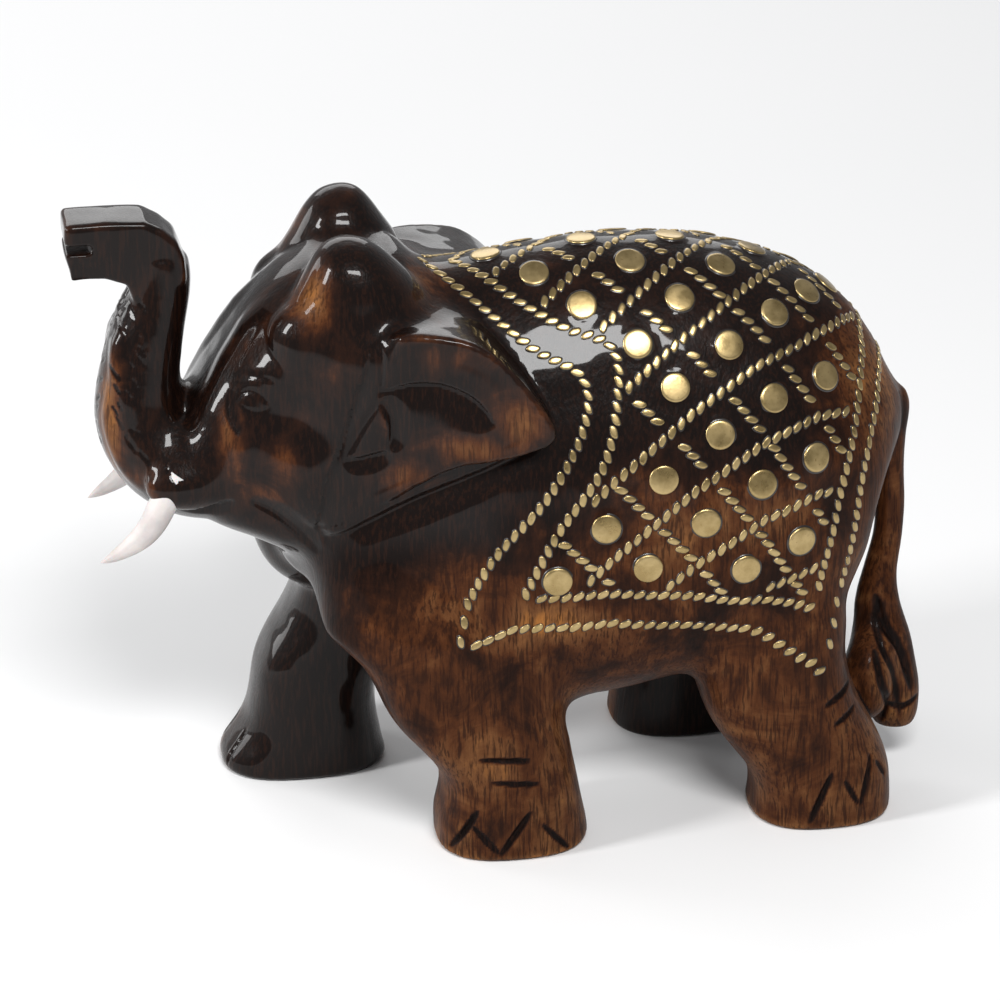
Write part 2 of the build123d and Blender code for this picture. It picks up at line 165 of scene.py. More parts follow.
def normals_of(points, quads):
    """Outward unit direction at each point of a quad skin."""
    first = points[quads[:, 2]] - points[quads[:, 0]]
    second = points[quads[:, 3]] - points[quads[:, 1]]
    flat = np.cross(first, second)
    total = np.zeros_like(points)
    for corner in range(4):
        for axis in range(3):
            total[:, axis] += np.bincount(quads[:, corner], flat[:, axis], len(points))
    return total / np.maximum(np.linalg.norm(total, axis=1), 1e-9)[:, None]


def smoothstep(low, high, value):
    """A soft step from 0 at low to 1 at high."""
    share = np.clip((value - low) / (high - low), 0, 1)
    return share * share * (3 - 2 * share)


def curve_through(knots, steps=8):
    """Points along a smooth line through the knots."""
    knots = np.asarray(knots, float)
    padded = np.concatenate([knots[:1] * 2 - knots[1:2], knots, knots[-1:] * 2 - knots[-2:-1]])
    line = []
    for index in range(len(knots) - 1):
        a, b, c, d = padded[index:index + 4]
        for step in range(steps):
            t = step / steps
            bend = (2 * a - 5 * b + 4 * c - d) * t * t
            twist = (3 * b - a - 3 * c + d) * t ** 3
            line.append(0.5 * (2 * b + (c - a) * t + bend + twist))
    line.append(knots[-1])
    return np.array(line)


# ---------------------------------------------------------------- the wood
# fuller flesh between the plain CAD forms: centre and radii
FLESH = [
    ((-22.0, -13.0, 47.5), (13.5, 12.0, 12.5)),
    ((-29.5, 13.0, 47.5), (13.5, 12.0, 12.5)),
    ((-29.0, -12.0, 92.0), (13.0, 8.0, 9.0)),
    ((-29.0, 12.0, 92.0), (13.0, 8.0, 9.0)),
    ((-55.6, -12.0, 67.6), (7.0, 4.2, 4.7)),
    ((-55.6, 12.0, 67.6), (7.0, 4.2, 4.7)),
    ((63.2, -9.6, 20.0), (4.6, 6.0, 8.5)),
]


# how far the top of a disc is let down into its pocket to fill it flush
STUD_DROP = 0.33


def ellipsoid(centre, radii, rings=24, count=36):
    """A closed ball stretched to three radii."""
    points = [(0.0, 0.0, 1.0)]
    for ring in range(1, rings):
        tilt = math.pi * ring / rings
        for index in range(count):
            turn_by = 2 * math.pi * index / count
            points.append((math.sin(tilt) * math.cos(turn_by), math.sin(tilt) * math.sin(turn_by),
                           math.cos(tilt)))
    points.append((0.0, 0.0, -1.0))
    last = len(points) - 1
    tris = []
    for index in range(count):
        after = (index + 1) % count
        tris.append((0, 1 + index, 1 + after))
        tris.append((last, last - count + after, last - count + index))
        for ring in range(rings - 2):
            a, b = 1 + ring * count + index, 1 + ring * count + after
            tris.append((a, a + count, b))
            tris.append((b, a + count, b + count))
    return np.array(points) * np.array(radii) + np.array(centre), np.array(tris)


def wood_source():
    """The CAD wood with its stud pockets filled flush and the fuller flesh added."""
    points, tris = read_mesh(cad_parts["carved_body"])
    clouds, faces, start = [points], [tris], len(points)
    for node in ("spine_studs", "left_studs", "right_studs"):
        studs, stud_tris = read_mesh(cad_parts[node])
        studs = studs.copy()
        for members in islands(studs, stud_tris):
            cloud = studs[members]
            centre = cloud.mean(0)
            _, _, axes = np.linalg.svd(cloud - centre)
            outward = axes[2]
            if outward @ (centre - np.array([centre[0], 0.0, SPINE_AXIS_Z])) < 0:
                outward = -outward
            upper = (cloud - centre) @ outward > 0
            studs[members[upper]] -= outward * STUD_DROP
        clouds.append(studs)
        faces.append(stud_tris + start)
        start += len(studs)
    for centre, radii in FLESH:
        ball, ball_tris = ellipsoid(centre, radii)
        clouds.append(ball)
        faces.append(ball_tris + start)
        start += len(ball)
    return np.concatenate(clouds), np.concatenate(faces)


# outline of the left ear from the side: x, z
EAR_OUTLINE = [
    (-25.4, 93.4), (-22.4, 96.2), (-15.8, 96.8), (-8.6, 95.6), (-2.6, 91.4), (1.8, 85.4),
    (4.6, 78.6), (-5.7, 73.4), (-20.3, 67.4), (-35.0, 60.2), (-33.4, 69.0), (-30.4, 77.5),
    (-27.8, 86.0),
]

# the ear's front edge, which runs softly into the cheek: x, z
EAR_FRONT_EDGE = [(-34.6, 65.0), (-33.0, 70.0), (-30.2, 77.5), (-27.6, 86.0), (-25.0, 92.5)]


def inside_ear(points):
    """True for points on the raised ear plates."""
    inside = np.zeros(len(points), bool)
    for side in (-1, 1):
        back = RIGHT_EAR_BACK if side > 0 else 0.0
        lift = RIGHT_EAR_UP if side > 0 else 0.0
        x = points[:, 0] - back
        z = points[:, 2] - lift
        crossed = np.zeros(len(points), bool)
        for (x1, z1), (x2, z2) in zip(EAR_OUTLINE, EAR_OUTLINE[1:] + EAR_OUTLINE[:1]):
            spans = (z1 > z) != (z2 > z)
            crossed ^= spans & (x < x1 + (z - z1) * (x2 - x1) / (z2 - z1 + 1e-12))
        face = np.interp(x, [-35.0, 4.6], [20.0, 29.2])
        inside |= crossed & (points[:, 1] * side > face - 3.0)
    return inside


# places where one carved form runs softly into the next: x, y, z, reach; y is mirrored
SOFT_PLACES = [
    (-27.0, 15.0, 92.0, 15.0),
    (-27.0, 0.0, 101.0, 8.0),
    (-12.0, 0.0, 98.0, 10.0),
    (-14.0, 10.0, 94.0, 9.0),
    (-54.5, 0.0, 80.0, 6.5),
    (-53.0, 11.0, 72.0, 8.0),
    (-55.5, 12.5, 69.5, 7.5),
    (-44.0, 8.0, 56.0, 9.0),
    (-33.0, 0.0, 48.0, 12.0),
    (-30.0, 12.0, 50.0, 11.0),
    (-18.0, 18.0, 55.0, 7.0),
    (-30.0, 14.0, 50.0, 13.0),
    (65.0, 0.0, 74.0, 7.0),
    (64.0, 0.0, 60.0, 6.0),
]
# the same for the left legs, not mirrored
LEFT_SOFT = [
    (-22.0, -20.0, 44.0, 15.0),
    (-6.0, -24.0, 40.0, 14.0),
    (8.0, -22.0, 30.0, 12.0),
    (-10.0, -6.0, 30.0, 13.0),
    (44.0, -24.0, 42.0, 15.0),
    (32.0, -22.0, 34.0, 11.0),
    (57.0, -16.0, 48.0, 13.0),
    (46.0, -4.0, 34.0, 13.0),
    (64.0, -9.0, 25.0, 9.0),
]
# the same for the right legs, not mirrored
RIGHT_SOFT = [
    (-34.0, 16.0, 46.0, 14.0),
    (-18.0, 24.0, 44.0, 15.0),
    (-4.0, 22.0, 34.0, 13.0),
    (-22.0, 6.0, 32.0, 13.0),
    (42.0, 24.0, 42.0, 15.0),
    (30.0, 20.0, 34.0, 11.0),
    (55.0, 16.0, 46.0, 13.0),
    (40.0, 4.0, 32.0, 13.0),
]


def softness(points):
    """How much each point is smoothed, from 0 to 1."""
    places = list(SOFT_PLACES) + LEFT_SOFT + RIGHT_SOFT
    places += [(x, -y, z, reach) for x, y, z, reach in SOFT_PLACES if y != 0.0]
    weight = np.zeros(len(points))
    for x, y, z, reach in places:
        far = np.linalg.norm(points - np.array([x, y, z]), axis=1) / reach
        weight = np.maximum(weight, 1 - smoothstep(0.45, 1.0, far))
    weight[inside_ear(points)] = 0.0
    for side in (-1, 1):
        back = RIGHT_EAR_BACK if side > 0 else 0.0
        lift = RIGHT_EAR_UP if side > 0 else 0.0
        far = np.full(len(points), 1e9)
        for x, z in curve_through(EAR_FRONT_EDGE):
            far = np.minimum(far, np.hypot(points[:, 0] - x - back, points[:, 2] - z - lift))
        far[points[:, 1] * side < 12.0] = 1e9
        weight = np.maximum(weight, 1 - smoothstep(1.8, 4.8, far))
    return weight


# where the rays start that find a line on the skin: y at the side, x at the front
RAY_START_SIDE = 70.0
RAY_START_FRONT = -120.0


class Carver:
    """Collects cuts and swellings on a skin and then moves its points."""

    def __init__(self, points, quads):
        self.points = points
        self.quads = quads
        self.normals = normals_of(points, quads)
        self.tree = BVHTree.FromPolygons(points.tolist(), quads.tolist())
        self.push = np.zeros(len(points))
        self.slide = np.zeros_like(points)
        # painted shade along the cuts, kept for the wood's colour
        self.dark = np.zeros(len(points))

    def cast(self, origin, direction):
        """The first place on the skin along a ray."""
        hit = self.tree.ray_cast(Vector(origin), Vector(direction).normalized())[0]
        return None if hit is None else np.array(hit)

    def from_side(self, knots, side, steps=8):
        """A line on the skin, drawn in x and z from one side."""
        line = [self.cast((x, side * RAY_START_SIDE, z), (0, -side, 0))
                for x, z in curve_through(knots, steps)]
        return np.array([place for place in line if place is not None])

    def from_front(self, knots, steps=8):
        """A line on the skin, drawn in y and z from the front."""
        line = [self.cast((RAY_START_FRONT, y, z), (1, 0, 0))
                for y, z in curve_through(knots, steps)]
        return np.array([place for place in line if place is not None])

    def near_line(self, line, reach):
        """Points near a line: their numbers, distance, place along it and nearest spot."""
        low, high = line.min(0) - reach, line.max(0) + reach
        near = np.flatnonzero(((self.points > low) & (self.points < high)).all(1))
        cloud = self.points[near]
        best = np.full(len(near), 1e9)
        place = np.zeros(len(near))
        spot = np.zeros((len(near), 3))
        for index in range(len(line) - 1):
            step = line[index + 1] - line[index]
            share = np.clip(((cloud - line[index]) @ step) / max(step @ step, 1e-9), 0, 1)
            at = line[index] + share[:, None] * step
            far = np.linalg.norm(cloud - at, axis=1)
            closer = far < best
            best[closer] = far[closer]
            place[closer] = (index + share[closer]) / (len(line) - 1)
            spot[closer] = at[closer]
        return near, best, place, spot

    def cut(self, line, width, depth, power=1.0, spill=None, spill_width=0.0, fade=0.5, dark=1.0):
        """A cut along a line; spill is a direction in which one bank slopes more gently, and dark
        paints shade into the cut.
        """
        if len(line) < 2:
            return
        near, far, place, spot = self.near_line(line, max(width, spill_width) + 0.5)
        ends = np.clip(4 * place * (1 - place), 0, 1) ** fade if fade else 1.0
        reach = np.full(len(near), width)
        if spill is not None:
            downhill = (self.points[near] - spot) @ np.array(spill, float) > 0
            reach[downhill] = spill_width
        amount = np.clip(1 - far / (reach * (0.35 + 0.65 * ends)), 0, 1) ** power * ends
        self.push[near] -= depth * amount
        self.dark[near] = np.maximum(self.dark[near], dark * np.clip(amount * 1.6, 0, 1))

    def ridge(self, line, width, height):
        """A soft raised line."""
        near, far, place, _ = self.near_line(line, width)
        ends = np.clip(6 * place * (1 - place), 0, 1)
        self.push[near] += height * ends * np.clip(1 - (far / width) ** 2, 0, 1) ** 2

    def swell(self, centre, radii, amount, where=1.0):
        """A soft bulge, or a hollow when the amount is negative."""
        far = ((self.points - np.array(centre)) / np.array(radii)) ** 2
        self.push += amount * np.exp(-far.sum(1)) * where

    def move(self, centre, radii, step):
        """Carries the wood round a place along with a step."""
        far = ((self.points - np.array(centre)) / np.array(radii)) ** 2
        self.slide += np.exp(-far.sum(1))[:, None] * np.array(step)

    def finished(self):
        """The points after all cuts, swellings and moves."""
        return self.points + self.slide + self.normals * self.push[:, None]


def carve_body(carver):
    """Hollows of the rump beside the tail, and the left dome a little lower than the right."""
    tail = np.array([(66.0, 0.0, 72.0), (68.8, 0.0, 63.0), (69.2, -0.6, 52.0), (68.9, -1.6, 43.0),
                     (67.2, -3.0, 35.0), (67.2, -4.4, 27.5), (68.2, -5.4, 19.0)])
    _, far, _, _ = carver.near_line(tail, 200.0)
    rump = smoothstep(3.6, 6.0, far)
    for side in (-1, 1):
        carver.swell((65.0, side * 8.0, 55.0), (8.0, 10.0, 8.0), -1.8, rump)
    carver.move((-26.0, -11.0, 110.0), (9.0, 8.5, 10.0), (-1.6, 0.0, -2.0))


def carve_ear(carver, side):
    """Folds of one ear."""
    back = RIGHT_EAR_BACK if side > 0 else 0.0
    lift = RIGHT_EAR_UP if side > 0 else 0.0

    def line(knots):
        return carver.from_side([(x + back, z + lift) for x, z in knots], side)

    crescent = line([(-25.0, 86.0), (-20.1, 87.2), (-16.9, 87.4), (-13.7, 86.8), (-10.5, 85.4),
                     (-8.1, 83.2), (-6.4, 80.6)])
    carver.cut(crescent, 0.7, 1.0, spill=(0, 0, -1), spill_width=7.5, power=1.5, dark=0.6)
    carver.cut(line([(-34.0, 58.6), (-27.0, 62.2), (-19.0, 66.2), (-8.0, 71.0), (2.0, 75.8)]), 1.2,
               1.3, spill=(0, 0, -1), spill_width=4.5, power=1.2, dark=0.9)
    carver.ridge(line([(-24.0, 89.2), (-16.0, 90.2), (-9.0, 88.0), (-4.6, 82.6)]), 3.0, 0.35)
    carver.cut(line([(-24.6, 84.5), (-22.9, 80.4), (-23.2, 75.6)]), 0.7, 1.2,
               spill=(1, 0, 0), spill_width=3.4, dark=0.9)
    carver.cut(line([(-30.4, 73.2), (-26.7, 74.2), (-23.0, 75.6)]), 0.7, 1.0,
               spill=(0, 0, -1), spill_width=3.0, dark=0.9)
    carver.cut(line([(-30.2, 73.4), (-28.0, 78.6), (-24.9, 84.0)]), 1.0, 0.4, dark=0.4)
    carver.cut(line([(-24.4, 94.6), (-24.2, 91.0), (-24.6, 86.0)]), 0.7, 0.35, dark=0.7)
    carver.ridge(line([(-30.0, 63.9), (-20.0, 69.2), (-8.0, 74.1), (2.2, 78.4)]), 2.2, 0.3)
    carver.swell((-8.0 + back, side * 28.0, 78.5 + lift), (6.5, 8.0, 4.0), 0.35)


def carve_face(carver, side):
    """Eye, brow, cheek and mouth of one side."""
    def line(knots):
        return carver.from_side(knots, side)

    plain = 1.0 - inside_ear(carver.points)
    for x, z in ((-36.5, 66.0), (-34.5, 73.5), (-32.0, 81.0), (-29.5, 88.5)):
        carver.swell((x, side * 17.0, z), (4.5, 9.0, 5.5), 1.1, plain)
    carver.swell((-45.0, side * 15.0, 82.0), (4.6, 6.0, 4.0), -0.45)
    carver.swell((-44.8, side * 15.0, 82.4), (2.2, 6.0, 1.6), 0.12)
    carver.cut(line([(-47.6, 82.2), (-46.4, 84.0), (-44.8, 84.6), (-43.2, 83.8), (-42.0, 82.2)]),
               0.45, 0.24, spill=(0, 0, -1), spill_width=0.8, dark=0.6)
    carver.cut(line([(-47.6, 82.2), (-46.0, 81.4), (-44.2, 81.2), (-42.0, 82.2)]), 0.45, 0.14,
               dark=0.5)
    carver.cut(line([(-47.8, 85.0), (-46.0, 86.4), (-43.1, 86.8), (-41.0, 86.2)]), 0.45, 0.15,
               spill=(0, 0, 1), spill_width=1.2, dark=0.5)
    carver.cut(line([(-48.4, 83.5), (-48.8, 80.0), (-47.4, 77.0)]), 0.6, 0.35,
               spill=(1, 0, 0), spill_width=2.2, dark=0.6)
    carver.swell((-38.6, side * 18.0, 80.5), (5.0, 8.0, 5.0), -1.3)
    carver.swell((-36.5, side * 17.0, 70.0), (8.0, 8.0, 5.0), 0.5)
    carver.cut(line([(-60.0, 64.6), (-56.0, 63.2), (-52.0, 63.8), (-48.4, 65.6)]), 0.8, 1.0,
               spill=(0, 0, -1), spill_width=2.0)
    carver.cut(line([(-46.0, 65.6), (-41.5, 63.0), (-37.8, 59.4), (-34.6, 55.4)]), 0.9, 0.8,
               spill=(1, 0, 0), spill_width=3.0, dark=0.8)


def carve_head(carver):
    """The forehead's front face and the valley between the domes."""
    for side in (-1, 1):
        edge = carver.from_front([(side * 3.0, 93.0), (side * 4.6, 88.6), (side * 7.2, 83.0),
                                  (side * 9.0, 77.0)])
        carver.ridge(edge, 2.6, 0.55)
        carver.swell((-41.0, side * 9.5, 93.0), (6.0, 5.0, 6.0), -0.2)
        corner = [(-41.5, 97.0), (-45.6, 91.5), (-49.4, 85.0), (-52.6, 77.5), (-54.0, 71.0)]
        carver.ridge(carver.from_side(corner, side), 4.0, 0.6)
    carver.cut(carver.from_front([(0.0, 104.5), (0.0, 100.0), (0.0, 95.0)]), 5.0, 1.0, power=2.0,
               dark=0.2)


def carve_trunk(carver):
    """Chiselled faces of the trunk and the two lips of its tip."""
    for side in (-1, 1):
        front_ridge = [(-63.9, 97.0), (-65.4, 90.0), (-67.1, 83.0), (-68.0, 76.5), (-66.0, 69.5),
                       (-61.5, 64.6)]
        carver.ridge(carver.from_side(front_ridge, side), 2.2, 0.4)
        for z in np.arange(69.0, 98.0, 0.95):
            rear = np.interp(z, [66.0, 70.0, 76.5, 83.5, 90.5, 97.5],
                             [-54.0, -58.0, -62.5, -62.8, -61.6, -60.6])
            x = rear - rng.uniform(0.2, 4.6)
            length = rng.uniform(0.6, 1.3)
            stroke = [(x - length * 0.5, z + length), (x + length * 0.5, z - length)]
            carver.cut(carver.from_side(stroke, side, 4), 0.42, rng.uniform(0.1, 0.3), dark=0.8)
        carver.swell((-71.0, side * 5.0, 103.0), (4.0, 3.0, 2.4), -0.6)
    for z in np.arange(64.0, 97.0, 0.8):
        y = rng.uniform(-2.6, 2.6)
        length = rng.uniform(0.5, 1.2)
        stroke = [(y - length, z + 0.6), (y + length, z - 0.6)]
        carver.cut(carver.from_front(stroke, 4), 0.45, rng.uniform(0.12, 0.35), dark=0.6)


# toe and knee cuts of the left front leg seen from outside: x and z of both ends, width, depth
FRONT_FOOT_CUTS = [
    ((-14.2, 1.6), (-9.7, 10.2), 0.75, 0.95),
    ((-10.6, 7.0), (-6.2, 1.8), 0.6, 0.55),
    ((-6.0, 1.4), (-0.6, 9.8), 0.75, 0.95),
    ((1.2, 7.0), (6.4, 0.8), 0.65, 0.7),
]
FRONT_KNEE_CUTS = [
    ((-9.8, 20.3), (-0.8, 19.3), 0.7, 0.8),
    ((-7.8, 15.7), (0.9, 14.7), 0.6, 0.6),
]
# the same for the left hind leg
HIND_FOOT_CUTS = [
    ((52.4, 11.6), (48.7, 1.8), 0.75, 0.95),
    ((54.6, 9.8), (57.4, 4.6), 0.6, 0.6),
    ((59.7, 13.6), (57.8, 4.0), 0.7, 0.8),
    ((60.8, 11.8), (62.8, 8.2), 0.6, 0.6),
]
HIND_HOCK_CUTS = [
    ((50.8, 24.2), (56.4, 26.4), 0.7, 0.6),
    ((52.6, 20.4), (57.0, 22.2), 0.6, 0.5),
]
# how far the right legs stand behind the left ones; below zero is further forward
RIGHT_FRONT_LEG_BACK = -31.2
RIGHT_HIND_LEG_BACK = -16.8


# toe cuts seen from the front of the right front leg: y of the leg, how far apart
RIGHT_FRONT_LEG_Y = 15.4
FRONT_TOES_APART = 4.5


def carve_legs(carver):
    """Toe, knee and hock cuts on the outside of all legs and the front of one."""
    for side in (-1, 1):
        front = RIGHT_FRONT_LEG_BACK if side > 0 else 0.0
        hind = RIGHT_HIND_LEG_BACK if side > 0 else 0.0
        jobs = [(cut, front) for cut in FRONT_FOOT_CUTS + FRONT_KNEE_CUTS]
        jobs += [(cut, hind) for cut in HIND_FOOT_CUTS + HIND_HOCK_CUTS]
        for (start, end, width, depth), shift in jobs:
            knots = [(start[0] + shift, start[1]), (end[0] + shift, end[1])]
            carver.cut(carver.from_side(knots, side, 10), width, depth)
    for across in (-FRONT_TOES_APART, FRONT_TOES_APART):
        knots = [(RIGHT_FRONT_LEG_Y + across, 1.2), (RIGHT_FRONT_LEG_Y + across * 0.8, 8.0)]
        carver.cut(carver.from_front(knots), 0.6, 0.6)


def carve_tail(carver):
    """Hair lines of the tuft."""
    locks = [
        ([(65.0, 34.0), (66.2, 29.0), (69.2, 24.0), (71.4, 16.0)], 1.5, 0.9),
        ([(64.6, 31.0), (65.2, 26.0), (67.4, 20.5), (69.4, 11.0)], 1.1, 0.6),
        ([(63.6, 26.0), (64.4, 21.0), (66.2, 16.0), (66.4, 10.0)], 1.3, 0.8),
    ]
    for side in (-1, 1):
        for knots, width, depth in locks:
            carver.cut(carver.from_side(knots, side), width, depth, power=1.3, dark=0.8)
        carver.cut(carver.from_side([(66.6, 14.6), (69.6, 13.4), (73.0, 14.4)], side), 0.8, 0.6)


# wavelength and height of the waves that make a hand-worked surface
KNIFE_WAVES = ((26.0, 0.10), (15.0, 0.07), (9.0, 0.045), (5.0, 0.02))


def knife_marks(points):
    """Faint unevenness of a surface worked with a knife and sanded."""
    waves = np.zeros(len(points))
    for wavelength, height in KNIFE_WAVES:
        for _ in range(5):
            direction = rng.normal(size=3)
            direction *= 2 * math.pi / wavelength / np.linalg.norm(direction)
            waves += height * np.sin(points @ direction + rng.uniform(0, 6.28)) / 2.2
    return waves


# smoothing rounds: even out the voxels, melt the soft places, and blur for the relief
EVEN_ROUNDS = 8
SHRINK_ROUNDS = 4
SOFT_ROUNDS = 260
RELIEF_ROUNDS = 40


def carved_wood():
    """The finished skin of the wood: points, quads, normals, relief and the painted shade of the
    cuts.
    """
    points, quads = voxel_skin(*wood_source())
    edges = edges_of(quads)
    tip = smoothstep(98.0, 101.0, points[:, 2]) * smoothstep(-56.0, -60.0, points[:, 0])
    points = relax(points, edges, EVEN_ROUNDS, 1 - 0.8 * tip, keep_size=True)
    points = relax(points, edges, SHRINK_ROUNDS, 1 - 0.8 * tip)
    points = relax(points, edges, SOFT_ROUNDS, softness(points))
    carver = Carver(points, quads)
    for side in (-1, 1):
        carve_ear(carver, side)
        carve_face(carver, side)
    carve_head(carver)
    carve_body(carver)
    carve_trunk(carver)
    carve_legs(carver)
    carve_tail(carver)
    fade = smoothstep(0.0, 3.0, points[:, 2])
    carver.push += knife_marks(points) * fade
    carved = carver.finished()
    carved[:, 2] = np.maximum(carved[:, 2], 0.0)
    blurred = relax(carved, edges, RELIEF_ROUNDS)
    normals = normals_of(carved, quads)
    relief = ((carved - blurred) * normals).sum(1)
    return carved, quads, normals, relief, carver.dark


# ---------------------------------------------------------------- materials
def new_material(name):
    """An empty node material and its tree."""
    material = bpy.data.materials.new(name)
    material.use_nodes = True
    material.node_tree.nodes.clear()
    return material, material.node_tree


class Shader:
    """Short names for making shader nodes."""

    def __init__(self, name):
        self.material, self.tree = new_material(name)
        self.surface = self.add("ShaderNodeBsdfPrincipled")
        output = self.add("ShaderNodeOutputMaterial")
        self.tree.links.new(self.surface.outputs["BSDF"], output.inputs["Surface"])
        self.coords = self.add("ShaderNodeTexCoord").outputs["Object"]

    def add(self, kind, **settings):
        node = self.tree.nodes.new(kind)
        for key, value in settings.items():
            setattr(node, key, value)
        return node

    def put(self, socket, value):
        if isinstance(value, bpy.types.NodeSocket):
            self.tree.links.new(value, socket)
        else:
            socket.default_value = value

    def stretched(self, x, y, z):
        node = self.add("ShaderNodeMapping")
        self.put(node.inputs["Vector"], self.coords)
        node.inputs["Scale"].default_value = (x, y, z)
        return node.outputs["Vector"]

    def noise(self, vector, scale, detail=4.0, roughness=0.55, distortion=0.0):
        node = self.add("ShaderNodeTexNoise")
        self.put(node.inputs["Vector"], vector)
        node.inputs["Scale"].default_value = scale
        node.inputs["Detail"].default_value = detail
        node.inputs["Roughness"].default_value = roughness
        node.inputs["Distortion"].default_value = distortion
        return node.outputs["Fac"]

    def math(self, operation, a, b):
        node = self.add("ShaderNodeMath", operation=operation)
        for socket, value in zip(node.inputs, (a, b)):
            self.put(socket, value)
        return node.outputs[0]

    def ramp(self, value, low, high, out_low=0.0, out_high=1.0):
        """A soft step from out_low at low to out_high at high."""
        node = self.add("ShaderNodeMapRange", interpolation_type="SMOOTHSTEP")
        self.put(node.inputs["Value"], value)
        for name, number in (("From Min", low), ("From Max", high),
                             ("To Min", out_low), ("To Max", out_high)):
            self.put(node.inputs[name], number)
        return node.outputs["Result"]

    def mix(self, share, a, b):
        node = self.add("ShaderNodeMix", data_type="RGBA")
        self.put(node.inputs["Factor"], share)
        self.put(node.inputs["A"], a if isinstance(a, bpy.types.NodeSocket) else (*a, 1.0))
        self.put(node.inputs["B"], b if isinstance(b, bpy.types.NodeSocket) else (*b, 1.0))
        return [s for s in node.outputs if s.type == "RGBA"][0]

    def attribute(self, name):
        return self.add("ShaderNodeAttribute", attribute_name=name).outputs["Fac"]

    def bump(self, height, distance, strength=1.0):
        node = self.add("ShaderNodeBump")
        self.put(node.inputs["Height"], height)
        node.inputs["Distance"].default_value = distance
        node.inputs["Strength"].default_value = strength
        self.tree.links.new(node.outputs["Normal"], self.surface.inputs["Normal"])

    def set(self, **values):
        for name, value in values.items():
            self.put(self.surface.inputs[name.replace("_", " ")], value)


# colours from the thickest lacquer to bare rubbed wood; the darkest also paint the shade in cuts,
# hollows and under the ears
NEAR_BLACK = (0.0052, 0.0026, 0.0020)
DARK_BROWN = (0.0180, 0.0066, 0.0036)
RED_BROWN = (0.064, 0.0205, 0.0070)
WARM_BROWN = (0.134, 0.055, 0.0200)
ORANGE = (0.345, 0.136, 0.032)


def wood_material():
    """Grain, colour, painted shade and lacquer of the carving, steered by its three attributes."""
    s = Shader("stained wood under lacquer")
    streaks = s.noise(s.stretched(1.0, 1.0, 0.09), 1900.0, 3.0, 0.6)
    bands = s.noise(s.stretched(1.0, 1.0, 0.18), 430.0, 5.0, 0.62, 0.5)
    clouds = s.noise(s.coords, 90.0, 7.0, 0.66, 0.8)
    blots = s.noise(s.coords, 36.0, 4.0, 0.55, 0.3)
    wear_and_shade = s.attribute("wear_and_shade")
    recess_shade = s.attribute("recess_shade")
    open_grain = s.attribute("open_grain")
    stain_and_shade = s.math("ADD", s.math("MULTIPLY", wear_and_shade, 0.46), s.math("MULTIPLY", open_grain, 0.24))
    stain_and_shade = s.math("ADD", stain_and_shade, s.math("MULTIPLY", clouds, 0.85))
    stain_and_shade = s.math("ADD", stain_and_shade, s.math("MULTIPLY", blots, 0.45))
    stain_and_shade = s.math("ADD", stain_and_shade, s.math("MULTIPLY", bands, 0.42))
    # painted shade: darker in the cuts and hollows
    stain_and_shade = s.math("SUBTRACT", stain_and_shade, s.math("MULTIPLY", recess_shade, 0.6))
    colour = s.mix(s.ramp(stain_and_shade, 0.78, 1.02), NEAR_BLACK, DARK_BROWN)
    colour = s.mix(s.ramp(stain_and_shade, 0.93, 1.15), colour, RED_BROWN)
    colour = s.mix(s.ramp(stain_and_shade, 1.08, 1.32), colour, WARM_BROWN)
    colour = s.mix(s.ramp(stain_and_shade, 1.26, 1.52), colour, ORANGE)
    streak_share = s.ramp(open_grain, 0.0, 1.0, 0.6, 0.75)
    dark_streak = s.math("MULTIPLY", s.ramp(streaks, 0.52, 0.38), streak_share)
    colour = s.mix(dark_streak, colour, DARK_BROWN)
    roughness = s.ramp(open_grain, 0.0, 1.0, 0.24, 0.46)
    roughness = s.math("ADD", roughness, s.math("MULTIPLY", clouds, 0.12))
    coat_left = s.ramp(wear_and_shade, 0.3, 1.0, 1.0, 0.45)
    coat = s.math("MULTIPLY", s.ramp(open_grain, 0.0, 0.9, 0.85, 0.15), coat_left)
    s.set(Base_Color=colour, Roughness=roughness, IOR=1.45, Specular_IOR_Level=0.05,
          Coat_Weight=coat, Coat_Roughness=0.05, Coat_IOR=1.28)
    grain = s.math("ADD", s.math("MULTIPLY", streaks, 0.5), s.math("MULTIPLY", bands, 0.7))
    s.bump(s.math("ADD", grain, s.math("MULTIPLY", clouds, 0.8)), 0.00030, 0.6)
    return s.material


def brass_material():
    s = Shader("hammered brass")
    clouds = s.noise(s.coords, 260.0, 4.0, 0.6)
    fine = s.noise(s.coords, 1900.0, 3.0, 0.6)
    colour = s.mix(s.ramp(clouds, 0.3, 0.7), (0.33, 0.235, 0.095), (0.53, 0.395, 0.185))
    colour = s.mix(s.ramp(fine, 0.62, 0.75), colour, (0.30, 0.20, 0.08))
    s.set(Base_Color=colour, Metallic=1.0, Roughness=s.ramp(clouds, 0.3, 0.7, 0.26, 0.40),
          Coat_Weight=0.3, Coat_Roughness=0.15)
    s.bump(s.math("ADD", clouds, s.math("MULTIPLY", fine, 0.3)), 0.00008, 0.5)
    return s.material


def pitch_material():
    s = Shader("dark lacquer around the brass")
    clouds = s.noise(s.coords, 300.0, 3.0)
    s.set(Base_Color=s.mix(clouds, (0.006, 0.004, 0.003), (0.016, 0.009, 0.006)), Roughness=0.35,
          Coat_Weight=0.5, Coat_Roughness=0.1)
    return s.material


